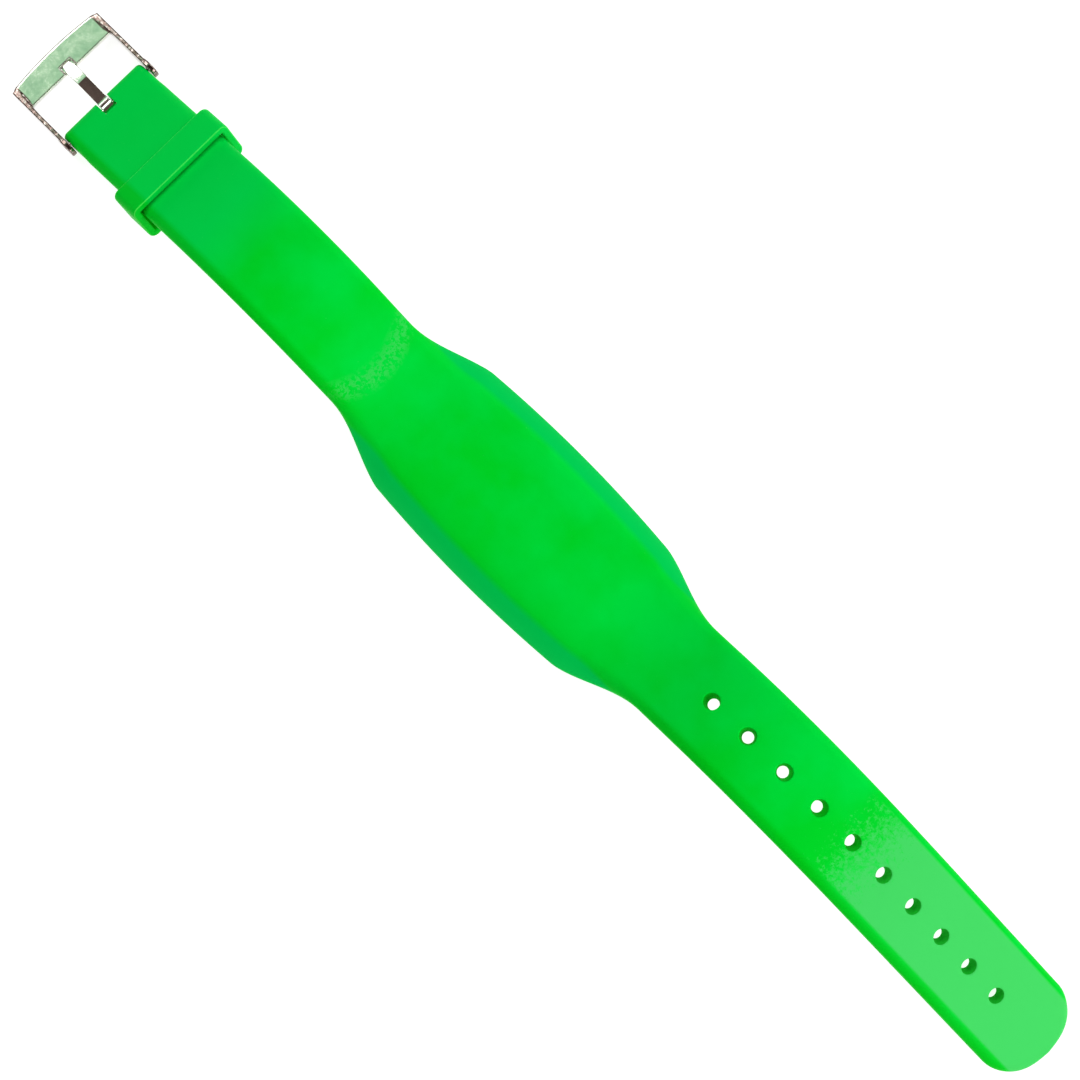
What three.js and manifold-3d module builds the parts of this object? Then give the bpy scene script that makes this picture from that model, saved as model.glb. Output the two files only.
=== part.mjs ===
// Silicone wristband with a thick oval head, a holed tail and a pin buckle on a spring bar.
// Millimetres, +Z up. The origin is the middle of the head's wrist face. The tail runs to +X,
// the buckle to -X, and the band lies arched as it rests on its two ends.

import * as THREE from 'three';
import { mergeVertices } from 'three/addons/utils/BufferGeometryUtils.js';
import Module from 'manifold-3d';

const wasm = await Module();
wasm.setup();

// ---------- driving dimensions ----------

const strapWidth = 20;
const strapThickness = 2.4;
const strapEdgeRadius = 0.6;

const headWidth = 31.8;
const headThickness = 7;
const headCornerAt = 22;        // half length of the full-width part
const headNeckAt = 39;          // half length to where the head has become strap
const headCornerWidth = 30;
const headCornerTurn = 0.85;    // below 1, the outline turns in faster just past its corners
const headRimHeight = 0.8;

// Roundness of a section, from 0 for a box to 1 for an ellipse.
const headCrown = 0.5;
const strapCrown = 0.28;
const lowerCrown = 0.22;
const lowerFlat = 0.97;         // the underside runs flat past this share of its rounding

// The flat stretch in the middle of the band, measured both ways from the head's middle.
const tailFlat = 22.6;
const buckleFlat = 25;
// Each strap is a row of arcs from the flat stretch outwards; up is positive.
const tailBends = [
  { length: 22, degrees: 28 },
  { length: 22, degrees: -28 },
  { length: 20, degrees: -18 },
  { length: 18, degrees: -4.6 },
];
const tailLength = 122.9;
const buckleBends = [
  { length: 20, degrees: 26 },
  { length: 16, degrees: -26 },
  { length: 22, degrees: -30 },
];
const buckleStrapLength = 90;

const holeCount = 10;
const holePitch = 8.8;
const holeDiameter = 2.2;       // at the wrist face
const holeMouth = 3.2;          // at the outer face
const firstHoleAt = 26;
const tailTipLength = 8.5;      // length of the rounded end
const tailTipBluntness = 0.6;   // how far along the rounded end its sides stay straight
const tailTipRoundness = 0.55;  // how far across it the very end runs square

const tailHingeHoles = [0, 2, 5, 8];   // a hinge lies half a pitch past this many holes
const buckleHingesAt = [18, 38, 54.5];

const coverLength = 46;
const coverWidth = 24;
const coverThickness = 1.2;
const coverCorner = 9;
const pocketMargin = 2.5;       // ledge that the cover seats on
const pocketDepth = 1.8;
const filmThickness = 0.2;
const filmCorner = 3;
const filmMargin = 1.3;         // bare film round the coil
const coilThickness = 0.25;
const coilTrace = 0.5;
const coilPitch = 1.1;
const chipSize = 2.2;
const chipThickness = 0.5;
const chipCorner = 0.3;

const keeperWidth = 6.6;
const keeperWall = 1.45;
const keeperSpare = 1.4;        // height left over when the strap and the tail are both in
const keeperAt = 68.1;
const keeperCorner = 1.5;
const keeperInnerCorner = 0.6;
const keeperEdge = 0.3;

const barTubeRadius = 0.65;
const barTubeBore = 0.48;
const barPinRadius = 0.31;
const barShoulderRadius = 0.41;
const barShoulderLength = 1.8;
const barPinGrip = 0.65;        // how far a pin's tip reaches into the buckle's arm
const barLipLength = 0.25;
const barSpringWire = 0.08;     // wire radius
const barSpringTurns = 16;
const bossRadius = 1.95;
const bossTaper = 8;            // length over which the strap swells to the boss
const tangSlotLength = 1.95;    // bar axis to the slot's square end
const endReliefLength = 6.7;    // bar axis to where the strap end is full width again
const endNarrowing = 0.3;       // the strap end is narrower on each side, to clear the buckle

const buckleReach = 15.3;       // bar axis to outer edge
const buckleTop = 1;            // height of the frame's top face over the bar axis
const buckleBarWidth = 5.6;
const buckleBarThickness = 1.2;
const buckleBow = 0.9;          // rise of the curved outer edge
const buckleArm = 0.8;
const buckleEarRadius = 2.1;
const buckleEarPad = 0.2;       // how far each ear stands out past its arm
const buckleArmHeight = 2.0;    // at the outer bar
const buckleTilt = 3.6;         // degrees that the outer edge hangs below the bar axis
const notchDepth = 0.55;
const tangWidth = 2.3;
const tangThickness = 0.6;
const tangReach = 11.2;

// ---------- clearances ----------

const seatGap = 0.3;            // between pieces that rest on each other
const layerGap = 0.05;          // between the tag's layers
const filmSideGap = 2;          // between the tag's films and the pocket's wall
const runGap = 0.1;             // round the spring bar
const hingeGap = 0.3;           // beyond a link's round end
const slotGap = 0.3;            // each side of the tang
const buckleSideGap = 0.1;      // between the full strap width and each arm

// ---------- derived sizes ----------

const half = strapThickness / 2;
const midZ = headThickness - half;              // height of the strap's middle layer on the head
const hingeEnd = half + hingeGap;               // from a hinge to its parent's end face
const tailHingesAt = tailHingeHoles.map((count) => firstHoleAt + (count - 0.5) * holePitch);
const pocketLength = coverLength - 2 * pocketMargin;
const pocketWidth = coverWidth - 2 * pocketMargin;
const filmLength = pocketLength - 2 * filmSideGap;
const filmWidth = pocketWidth - 2 * filmSideGap;
const coilRoom = (filmWidth - chipSize) / 2 - filmMargin - coilTrace - layerGap;
const coilTurns = Math.floor(coilRoom / coilPitch);
const keeperInnerHeight = 2 * strapThickness + keeperSpare;
const keeperInnerWidth = strapWidth + 2 * seatGap;
const buckleInner = strapWidth + 2 * buckleSideGap;
const barTubeHalf = strapWidth / 2 - endNarrowing - seatGap;
const tangSlotWidth = tangWidth + 2 * slotGap;
const arcStep = 2.6;            // longest stretch of strap between two sections

const radians = THREE.MathUtils.degToRad;

const silicone = new THREE.MeshStandardMaterial({ color: 0x00d040, roughness: 0.5, metalness: 0 });
const steel = new THREE.MeshStandardMaterial({ color: 0xc9cfc8, roughness: 0.25, metalness: 1 });
const film = new THREE.MeshStandardMaterial({ color: 0xe9e7dc, roughness: 0.4, metalness: 0 });
const copper = new THREE.MeshStandardMaterial({ color: 0xc8793c, roughness: 0.35, metalness: 1 });
const resin = new THREE.MeshStandardMaterial({ color: 0x1b1b1d, roughness: 0.5, metalness: 0 });

const band = new THREE.Group();

// ---------- helpers ----------

function toSolid(geometry) {
  const bare = geometry.clone();
  for (const name of Object.keys(bare.attributes)) {
    if (name !== 'position') bare.deleteAttribute(name);
  }
  const merged = mergeVertices(bare, 1e-5);
  return new wasm.Manifold(new wasm.Mesh({
    numProp: 3,
    vertProperties: new Float32Array(merged.attributes.position.array),
    triVerts: new Uint32Array(merged.index.array),
  }));
}

function toGeometry(solid) {
  const mesh = solid.getMesh();
  const geometry = new THREE.BufferGeometry();
  geometry.setAttribute('position', new THREE.BufferAttribute(mesh.vertProperties, 3));
  geometry.setIndex(new THREE.BufferAttribute(mesh.triVerts, 1));
  geometry.computeVertexNormals();
  return geometry;
}

function cut(geometry, cutters) {
  let solid = toSolid(geometry);
  for (const cutter of cutters) solid = solid.subtract(toSolid(cutter));
  return toGeometry(solid);
}

function addPiece(parent, name, geometry, material) {
  const mesh = new THREE.Mesh(geometry, material);
  mesh.name = name;
  parent.add(mesh);
  return mesh;
}

function flatLength(side) {
  return side > 0 ? tailFlat : buckleFlat;
}

// A point of a strap's middle layer, `along` millimetres out from the end of the flat stretch.
function pathPoint(side, bends, along) {
  let x = flatLength(side);
  let z = midZ;
  let angle = 0;
  let left = along;
  for (const bend of bends) {
    if (left <= 0) break;
    const length = Math.min(left, bend.length);
    const turn = radians(bend.degrees) * length / bend.length;
    const chord = length * Math.sin(turn / 2) / (turn / 2);
    x += chord * Math.cos(angle + turn / 2);
    z += chord * Math.sin(angle + turn / 2);
    angle += turn;
    left -= length;
  }
  x += left * Math.cos(angle);
  z += left * Math.sin(angle);
  return { x: side * x, z, angle, side };
}

// A point `lift` above the middle layer, square to it.
function liftedPoint(point, lift) {
  const x = point.x - point.side * lift * Math.sin(point.angle);
  return new THREE.Vector2(x, point.z + lift * Math.cos(point.angle));
}

// A side outline in X and Z, extruded across Y with rounded long edges.
function acrossBand(points, width, edge) {
  const geometry = new THREE.ExtrudeGeometry(new THREE.Shape(points), {
    depth: width - 2 * edge,
    bevelEnabled: edge > 0,
    bevelSize: edge,
    bevelOffset: -edge,
    bevelThickness: edge,
    bevelSegments: 2,
    curveSegments: 24,
  });
  geometry.translate(0, 0, edge - width / 2);
  geometry.rotateX(Math.PI / 2);
  return geometry;
}

// A plan outline in X and Y, extruded up from z.
function upright(shape, z, height) {
  const geometry = new THREE.ExtrudeGeometry(shape, {
    depth: height, bevelEnabled: false, curveSegments: 8,
  });
  geometry.translate(0, 0, z);
  return geometry;
}

function roundedRectangle(length, width, corner) {
  const shape = new THREE.Shape();
  const x = length / 2;
  const y = width / 2;
  shape.moveTo(corner - x, -y);
  shape.lineTo(x - corner, -y);
  shape.absarc(x - corner, corner - y, corner, -Math.PI / 2, 0);
  shape.lineTo(x, y - corner);
  shape.absarc(x - corner, y - corner, corner, 0, Math.PI / 2);
  shape.lineTo(corner - x, y);
  shape.absarc(corner - x, y - corner, corner, Math.PI / 2, Math.PI);
  shape.lineTo(-x, corner - y);
  shape.absarc(corner - x, corner - y, corner, Math.PI, 1.5 * Math.PI);
  return shape;
}

// A shape's outline as points with no two alike, for use as a hole or an extrusion.
function outline(shape, divisions) {
  const points = shape.getPoints(divisions);
  return points.filter((point, i) => point.distanceTo(points[(i + 1) % points.length]) > 1e-4);
}

// ---------- head ----------

function ease(value) {
  const share = THREE.MathUtils.clamp(value, 0, 1);
  return share * share * (3 - 2 * share);
}

// 1 over the full-width part of the head, falling to 0 at the neck.
function headShare(x, turn = 1) {
  const beyond = Math.max(Math.abs(x) - headCornerAt, 0) / (headNeckAt - headCornerAt);
  return 1 - ease(beyond ** turn);
}

function headHalfWidth(x) {
  const share = headShare(x, headCornerTurn);
  const inside = Math.min(Math.abs(x) / headCornerAt, 1);
  const bowed = headWidth / 2 - (headWidth - headCornerWidth) / 2 * inside ** 2;
  return share * bowed + (1 - share) * strapWidth / 2;
}

function signedPower(value, power) {
  const size = Math.abs(value);
  return size < 1e-6 ? 0 : Math.sign(value) * size ** power;
}

// The head's section at one place, from a unit circle's point (across, up).
function headSection(x, across, up) {
  const share = headShare(x);
  const bottom = -half - share * (headThickness - strapThickness);
  const rim = THREE.MathUtils.lerp(half, headRimHeight, share);
  const power = up >= 0 ? THREE.MathUtils.lerp(strapCrown, headCrown, share) : lowerCrown;
  const reach = up >= 0 ? half - bottom - rim : rim;
  const rise = signedPower(up, power);
  return {
    y: headHalfWidth(x) * signedPower(across, power),
    lift: bottom + rim + reach * (rise < -lowerFlat ? -1 : rise),
  };
}

// The head with a stub of strap on each side, up to the first hinges.
function headBody() {
  const leftEnd = buckleHingesAt[0] - hingeEnd;
  const rightEnd = tailHingesAt[0] - hingeEnd;
  const length = tailFlat + buckleFlat + leftEnd + rightEnd;
  const geometry = new THREE.CylinderGeometry(1, 1, 1, 48, 44);
  geometry.rotateZ(-Math.PI / 2);
  const vertices = geometry.attributes.position;
  for (let i = 0; i < vertices.count; i += 1) {
    const along = (vertices.getX(i) + 0.5) * length - leftEnd - buckleFlat;
    const side = Math.sign(along) || 1;
    const beyond = Math.abs(along) - flatLength(side);
    const bends = side > 0 ? tailBends : buckleBends;
    const point = beyond > 0
      ? pathPoint(side, bends, beyond)
      : { x: along, z: midZ, angle: 0, side };
    const section = headSection(point.x, vertices.getY(i), vertices.getZ(i));
    const place = liftedPoint(point, section.lift);
    vertices.setXYZ(i, place.x, section.y, place.y);
  }
  return geometry;
}

function headShell() {
  const recess = roundedRectangle(
    coverLength + 2 * seatGap, coverWidth + 2 * seatGap, coverCorner + seatGap);
  const pocket = roundedRectangle(pocketLength, pocketWidth, coverCorner - pocketMargin);
  const recessDepth = coverThickness + seatGap;
  return cut(headBody(), [
    upright(recess, -1, recessDepth + 1),
    upright(pocket, recessDepth - 0.5, pocketDepth + 0.5),
  ]);
}

function backCover() {
  const shape = roundedRectangle(coverLength, coverWidth, coverCorner);
  return upright(shape, 0, coverThickness);
}

// A rectangular spiral of flat wire, from its outer end inwards and back along its other edge.
function coilOutline() {
  const outer = [];
  const inner = [];
  const firstX = filmLength / 2 - filmMargin;
  const firstY = filmWidth / 2 - filmMargin;
  const corners = 4 * coilTurns;
  for (let i = 0; i <= corners; i += 1) {
    const signX = i % 4 === 0 || i % 4 === 3 ? 1 : -1;
    const signY = i % 4 < 2 ? 1 : -1;
    const x = firstX - coilPitch * Math.floor((i + 1) / 4);
    const y = firstY - coilPitch * Math.floor(i / 4);
    outer.push(new THREE.Vector2(signX * x, signY * y));
    inner.push(new THREE.Vector2(signX * (x - coilTrace), signY * (y - coilTrace)));
  }
  inner[0].x = outer[0].x;
  outer[corners].x = inner[corners].x;
  return new THREE.Shape([...outer, ...inner.reverse()]);
}

function addTag() {
  const floor = coverThickness + seatGap;
  const filmShape = roundedRectangle(filmLength, filmWidth, filmCorner);
  addPiece(band, 'tag_base_film', upright(filmShape, floor, filmThickness), film);
  const coilZ = floor + filmThickness + layerGap;
  addPiece(band, 'tag_antenna_coil', upright(coilOutline(), coilZ, coilThickness), copper);
  const chip = upright(roundedRectangle(chipSize, chipSize, chipCorner), coilZ, chipThickness);
  const inset = filmMargin + coilPitch * coilTurns + coilTrace + layerGap;
  chip.translate((filmLength - chipSize) / 2 - inset, (filmWidth - chipSize) / 2 - inset, 0);
  addPiece(band, 'tag_chip', chip, resin);
  const lidZ = coilZ + chipThickness + layerGap;
  addPiece(band, 'tag_top_film', upright(filmShape, lidZ, filmThickness), film);
}

// ---------- strap links ----------

// The side outline of a link from its round end on a hinge to a square end.
function linkOutline(side, bends, from, to, thicknessAt) {
  const steps = Math.ceil((to - from) / arcStep);
  const top = [];
  const bottom = [];
  for (let i = 0; i <= steps; i += 1) {
    const along = from + (to - from) * i / steps;
    const point = pathPoint(side, bends, along);
    const lift = thicknessAt(along) / 2;
    top.push(liftedPoint(point, lift));
    bottom.push(liftedPoint(point, -lift));
  }
  const hinge = pathPoint(side, bends, from);
  const round = [];
  const roundSteps = 8;
  for (let i = 1; i < roundSteps; i += 1) {
    const turn = Math.PI * i / roundSteps;
    const back = { ...hinge, x: hinge.x - side * half * Math.sin(turn) * Math.cos(hinge.angle) };
    back.z -= half * Math.sin(turn) * Math.sin(hinge.angle);
    round.push(liftedPoint(back, -half * Math.cos(turn)));
  }
  return [...top, ...bottom.reverse(), ...round];
}

const evenThickness = () => strapThickness;

// A tapered cutter square to the strap at one place along it, half a strap longer at each end.
function holeCutter(side, bends, along) {
  const point = pathPoint(side, bends, along);
  const overshoot = (holeMouth - holeDiameter) / 4;
  const geometry = new THREE.CylinderGeometry(
    holeMouth / 2 + overshoot, holeDiameter / 2 - overshoot, 2 * strapThickness, 16);
  geometry.rotateX(Math.PI / 2);
  geometry.rotateY(-side * point.angle);
  geometry.translate(point.x, 0, point.z);
  return geometry;
}

// The plan outline of the tail's end, as a prism square to the last straight stretch.
function tailEndPrism(from) {
  const shape = new THREE.Shape();
  const y = strapWidth / 2;
  const start = tailLength - tailTipLength;
  shape.moveTo(from - strapThickness, -y - 1);
  shape.lineTo(start, -y - 1);
  shape.lineTo(start, -y);
  const shoulder = start + tailTipBluntness * tailTipLength;
  const square = tailTipRoundness * y;
  shape.bezierCurveTo(shoulder, -y, tailLength, -square, tailLength, 0);
  shape.bezierCurveTo(tailLength, square, shoulder, y, start, y);
  shape.lineTo(start, y + 1);
  shape.lineTo(from - strapThickness, y + 1);
  const geometry = new THREE.ExtrudeGeometry(shape, {
    depth: 8 * strapThickness, bevelEnabled: false, curveSegments: 12,
  });
  const end = pathPoint(1, tailBends, tailLength);
  geometry.translate(-tailLength, 0, -4 * strapThickness);
  geometry.rotateY(-end.angle);
  geometry.translate(end.x, 0, end.z);
  return geometry;
}

function addTailLinks() {
  const ends = [...tailHingesAt.slice(1).map((along) => along - hingeEnd), tailLength];
  tailHingesAt.forEach((from, index) => {
    const to = ends[index];
    const last = index === tailHingesAt.length - 1;
    const points = linkOutline(1, tailBends, from, to, evenThickness);
    const cutters = [];
    for (let hole = 0; hole < holeCount; hole += 1) {
      const along = firstHoleAt + hole * holePitch;
      if (along > from && along < to) cutters.push(holeCutter(1, tailBends, along));
    }
    const body = acrossBand(points, strapWidth, strapEdgeRadius);
    let solid = toSolid(cut(body, cutters));
    if (last) solid = solid.intersect(toSolid(tailEndPrism(from)));
    addPiece(band, `tail_link_${index + 1}`, toGeometry(solid), silicone);
  });
}

// The strap swells towards the boss round the spring bar.
function buckleThickness(along) {
  const swell = ease((along - (buckleStrapLength - bossTaper)) / bossTaper);
  return THREE.MathUtils.lerp(strapThickness, 2 * bossRadius, swell);
}

function buckleEndLink(from) {
  const bar = pathPoint(-1, buckleBends, buckleStrapLength);
  const points = linkOutline(-1, buckleBends, from, buckleStrapLength, buckleThickness);
  const strap = toSolid(acrossBand(points, strapWidth, strapEdgeRadius));
  const boss = new THREE.CylinderGeometry(bossRadius, bossRadius, strapWidth, 32);
  boss.translate(bar.x, 0, bar.z);
  const bore = new THREE.CylinderGeometry(
    barTubeRadius + runGap, barTubeRadius + runGap, strapWidth + 2, 24);
  bore.translate(bar.x, 0, bar.z);
  const slotOpening = 2 * bossRadius;
  const slot = new THREE.BoxGeometry(
    tangSlotLength + slotOpening, tangSlotWidth, 4 * bossRadius);
  slot.translate((tangSlotLength - slotOpening) / 2, 0, 0);
  slot.rotateY(bar.angle);
  slot.translate(bar.x, 0, bar.z);
  let solid = strap.add(toSolid(boss));
  solid = solid.subtract(toSolid(bore));
  solid = solid.subtract(toSolid(slot));
  for (const flank of [-1, 1]) {
    const relief = new THREE.BoxGeometry(2 * endReliefLength, 2, 6 * bossRadius);
    relief.rotateY(bar.angle);
    relief.translate(bar.x, flank * (strapWidth / 2 + 1 - endNarrowing), bar.z);
    solid = solid.subtract(toSolid(relief));
  }
  return toGeometry(solid);
}

function addBuckleLinks() {
  const last = buckleHingesAt.length - 1;
  for (let index = 0; index < last; index += 1) {
    const from = buckleHingesAt[index];
    const to = buckleHingesAt[index + 1] - hingeEnd;
    const points = linkOutline(-1, buckleBends, from, to, evenThickness);
    const body = acrossBand(points, strapWidth, strapEdgeRadius);
    addPiece(band, `buckle_link_${index + 1}`, body, silicone);
  }
  const end = buckleEndLink(buckleHingesAt[last]);
  addPiece(band, `buckle_link_${last + 1}`, end, silicone);
}

// ---------- keeper loop ----------

function addKeeper() {
  const outerWidth = keeperInnerWidth + 2 * keeperWall;
  const outerHeight = keeperInnerHeight + 2 * keeperWall;
  const shape = new THREE.Shape(outline(roundedRectangle(outerHeight, outerWidth, keeperCorner), 4));
  shape.holes.push(new THREE.Path(
    outline(roundedRectangle(keeperInnerHeight, keeperInnerWidth, keeperInnerCorner), 3)));
  const edge = keeperEdge;
  const geometry = new THREE.ExtrudeGeometry(shape, {
    depth: keeperWidth - 2 * edge,
    bevelEnabled: true,
    bevelSize: edge,
    bevelOffset: -edge,
    bevelThickness: edge,
    bevelSegments: 1,
    curveSegments: 4,
  });
  geometry.translate(0, 0, edge - keeperWidth / 2);
  geometry.rotateY(Math.PI / 2);
  const place = pathPoint(-1, buckleBends, keeperAt);
  const centre = liftedPoint(place, half + seatGap - keeperInnerHeight / 2);
  const group = new THREE.Group();
  group.position.set(centre.x, 0, centre.y);
  group.rotation.y = place.angle;
  addPiece(group, 'keeper_loop', geometry, silicone);
  band.add(group);
}

// ---------- spring bar ----------

function ring(profile, segments) {
  return new THREE.LatheGeometry(profile.map(([r, y]) => new THREE.Vector2(r, y)), segments);
}

function springBarTube() {
  const lip = barTubeHalf - barLipLength;
  const lipBore = barPinRadius + 0.06;
  return ring([
    [barTubeRadius, -barTubeHalf], [barTubeRadius, barTubeHalf], [lipBore, barTubeHalf],
    [lipBore, lip], [barTubeBore, lip], [barTubeBore, -lip],
    [lipBore, -lip], [lipBore, -barTubeHalf], [barTubeRadius, -barTubeHalf],
  ], 24);
}

function pinShoulderEnd() {
  return barTubeHalf - barLipLength - runGap;
}

function springBarPin(side) {
  const tip = buckleInner / 2 + barPinGrip;
  const shoulder = pinShoulderEnd();
  const root = shoulder - barShoulderLength;
  const geometry = ring([
    [0, root], [barShoulderRadius, root], [barShoulderRadius, shoulder],
    [barPinRadius, shoulder], [barPinRadius, tip - 0.15], [barPinRadius - 0.15, tip], [0, tip],
  ], 24);
  if (side < 0) geometry.rotateX(Math.PI);
  return geometry;
}

class Helix extends THREE.Curve {
  constructor(radius, length, turns) {
    super();
    this.radius = radius;
    this.length = length;
    this.turns = turns;
  }

  getPoint(share, target = new THREE.Vector3()) {
    const turn = 2 * Math.PI * this.turns * share;
    const y = (share - 0.5) * this.length;
    return target.set(this.radius * Math.cos(turn), y, this.radius * Math.sin(turn));
  }
}

function springBarSpring() {
  const reach = pinShoulderEnd() - barShoulderLength - runGap - barSpringWire;
  const radius = barTubeBore - runGap / 2 - barSpringWire - 0.02;
  const wire = new THREE.Shape();
  wire.absarc(0, 0, barSpringWire, 0, 2 * Math.PI);
  return new THREE.ExtrudeGeometry(new THREE.Shape(outline(wire, 3)), {
    steps: 10 * barSpringTurns,
    extrudePath: new Helix(radius, 2 * reach, barSpringTurns),
    bevelEnabled: false,
  });
}

// ---------- buckle ----------

function buckleArmOutline() {
  const points = [];
  const earSteps = 12;
  for (let i = 0; i <= earSteps; i += 1) {
    const turn = Math.PI * (0.5 - i / earSteps);
    points.push(new THREE.Vector2(
      buckleEarRadius * Math.cos(turn), buckleEarRadius * Math.sin(turn)));
  }
  const outer = buckleBow - buckleReach;
  points.push(new THREE.Vector2(outer, buckleTop - buckleArmHeight));
  points.push(new THREE.Vector2(outer, buckleTop));
  return points;
}

function buckleBarShape() {
  const inner = buckleBarWidth - buckleReach;
  const y = buckleInner / 2 + buckleArm;
  const shape = new THREE.Shape();
  shape.moveTo(inner, -y);
  shape.lineTo(inner, y);
  shape.lineTo(buckleBow - buckleReach, y);
  shape.quadraticCurveTo(-buckleReach - buckleBow, 0, buckleBow - buckleReach, -y);
  return shape;
}

function buckleFrame() {
  const barBottom = buckleTop - buckleBarThickness;
  let solid = toSolid(upright(buckleBarShape(), barBottom, buckleBarThickness));
  const armY = (buckleInner + buckleArm) / 2;
  for (const side of [-1, 1]) {
    const arm = acrossBand(buckleArmOutline(), buckleArm, 0);
    arm.translate(0, side * armY, 0);
    solid = solid.add(toSolid(arm));
    const ear = new THREE.CylinderGeometry(
      buckleEarRadius, buckleEarRadius, buckleArm + buckleEarPad, 32);
    ear.translate(0, side * (armY + buckleEarPad / 2), 0);
    solid = solid.add(toSolid(ear));
  }
  const hole = new THREE.CylinderGeometry(
    barPinRadius + runGap, barPinRadius + runGap, 2 * buckleInner, 24);
  const inner = buckleBarWidth - buckleReach;
  const notchLength = 2 * (tangReach + seatGap + inner);
  const notch = new THREE.BoxGeometry(notchLength, tangSlotWidth, 2 * notchDepth);
  notch.translate(inner, 0, buckleTop);
  solid = solid.subtract(toSolid(hole));
  solid = solid.subtract(toSolid(notch));
  return toGeometry(solid);
}

function buckleTang() {
  const eye = barTubeRadius + runGap;
  const outer = eye + tangThickness;
  const shape = new THREE.Shape();
  shape.moveTo(0, eye);
  shape.lineTo(0.9 - tangReach, eye);
  shape.quadraticCurveTo(-tangReach, eye, -tangReach, eye + 0.2);
  shape.quadraticCurveTo(-tangReach, outer, 1.6 - tangReach, outer);
  shape.lineTo(0, outer);
  const tip = acrossBand(outline(shape, 4), tangWidth, 0);
  const curl = ring([
    [eye, -tangWidth / 2], [outer, -tangWidth / 2],
    [outer, tangWidth / 2], [eye, tangWidth / 2], [eye, -tangWidth / 2],
  ], 24);
  return toGeometry(toSolid(tip).add(toSolid(curl)));
}

function addBuckle() {
  const bar = pathPoint(-1, buckleBends, buckleStrapLength);
  const barGroup = new THREE.Group();
  barGroup.position.set(bar.x, 0, bar.z);
  addPiece(barGroup, 'spring_bar_tube', springBarTube(), steel);
  addPiece(barGroup, 'spring_bar_spring', springBarSpring(), steel);
  addPiece(barGroup, 'spring_bar_pin_left', springBarPin(1), steel);
  addPiece(barGroup, 'spring_bar_pin_right', springBarPin(-1), steel);
  const frameGroup = new THREE.Group();
  frameGroup.rotation.y = -radians(buckleTilt);
  addPiece(frameGroup, 'buckle_frame', buckleFrame(), steel);
  addPiece(frameGroup, 'buckle_tang', buckleTang(), steel);
  barGroup.add(frameGroup);
  band.add(barGroup);
}

addPiece(band, 'head_shell', headShell(), silicone);
addPiece(band, 'head_back_cover', backCover(), silicone);
addTag();
addTailLinks();
addBuckleLinks();
addKeeper();
addBuckle();

export default band;
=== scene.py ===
"""Silicone wristband: thick oval head, holed tail, keeper loop and a pin buckle on a spring bar.

The band is shaped flat, as it comes out of its mould, and then laid along its resting curve.
Flat places are (along, across, lift): millimetres from the middle of the head towards the tail's
tip, across the band, and above its middle layer.
"""
import math

import bmesh
import bpy
from mathutils import Matrix, Vector


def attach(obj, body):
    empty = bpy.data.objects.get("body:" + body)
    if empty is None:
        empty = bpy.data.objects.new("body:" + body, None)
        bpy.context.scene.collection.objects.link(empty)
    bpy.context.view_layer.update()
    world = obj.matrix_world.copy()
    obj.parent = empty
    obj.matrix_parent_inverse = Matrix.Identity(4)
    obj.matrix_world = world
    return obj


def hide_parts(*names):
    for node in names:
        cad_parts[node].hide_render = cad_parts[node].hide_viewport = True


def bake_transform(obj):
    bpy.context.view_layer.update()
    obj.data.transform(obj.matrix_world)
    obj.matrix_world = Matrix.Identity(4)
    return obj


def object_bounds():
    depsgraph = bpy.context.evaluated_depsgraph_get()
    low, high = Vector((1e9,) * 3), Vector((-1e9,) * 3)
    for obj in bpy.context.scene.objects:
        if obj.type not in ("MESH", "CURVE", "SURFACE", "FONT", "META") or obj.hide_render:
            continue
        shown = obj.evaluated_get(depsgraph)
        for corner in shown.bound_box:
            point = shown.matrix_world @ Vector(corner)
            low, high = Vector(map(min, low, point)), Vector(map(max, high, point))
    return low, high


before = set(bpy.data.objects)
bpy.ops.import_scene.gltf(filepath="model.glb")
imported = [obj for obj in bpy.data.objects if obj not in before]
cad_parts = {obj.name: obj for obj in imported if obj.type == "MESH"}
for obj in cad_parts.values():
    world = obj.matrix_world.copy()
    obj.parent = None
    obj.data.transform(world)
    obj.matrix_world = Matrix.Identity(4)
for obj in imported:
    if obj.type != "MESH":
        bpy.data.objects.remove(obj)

cad_low, cad_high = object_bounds()

MM = 0.001

# ---------- the band's resting curve ----------

TAIL_FLAT = 22.6
BUCKLE_FLAT = 25.0
MIDDLE_HEIGHT = 5.8
TAIL_BENDS = ((22, 28), (22, -28), (20, -18), (18, -4.6))
BUCKLE_BENDS = ((20, 26), (16, -26), (22, -30))

# ---------- the band's outline ----------

STRAP_HALF_WIDTH = 10
STRAP_HALF_THICKNESS = 1.2
STRAP_EDGE_RUN = 1.9
STRAP_EDGE_DROP = 1.1
STRAP_EDGE_POWER = 1.9
STRAP_LOWER_RADIUS = 0.35

HEAD_HALF_WIDTH = 15.9
HEAD_CORNER_HALF_WIDTH = 15.0
HEAD_CORNER_TURN = 0.85         # below 1, the outline turns in faster just past its corners
HEAD_CORNER_AT = 22
HEAD_NECK_AT = 39
HEAD_EXTRA_DEPTH = 4.6
HEAD_EDGE_RUN = 4.6
HEAD_EDGE_DROP = 5.9
HEAD_EDGE_POWER = 1.6
HEAD_LOWER_RADIUS = 0.6

CELL = 0.55                     # mesh step along the band, a sixteenth of the hole pitch
CORE_CELLS = 4                  # cells from the middle line to a hole patch's edge
FIRST_HOLE = 48.6
HOLE_PITCH = 16 * CELL
HOLE_COUNT = 10
HOLE_RADIUS = 1.1
HOLE_MOUTH = 1.52               # the holes taper from this radius at the top
HOLE_UPPER_LIP = 0.28
HOLE_LOWER_LIP = 0.25
HOLE_STEPS = 32

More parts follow.
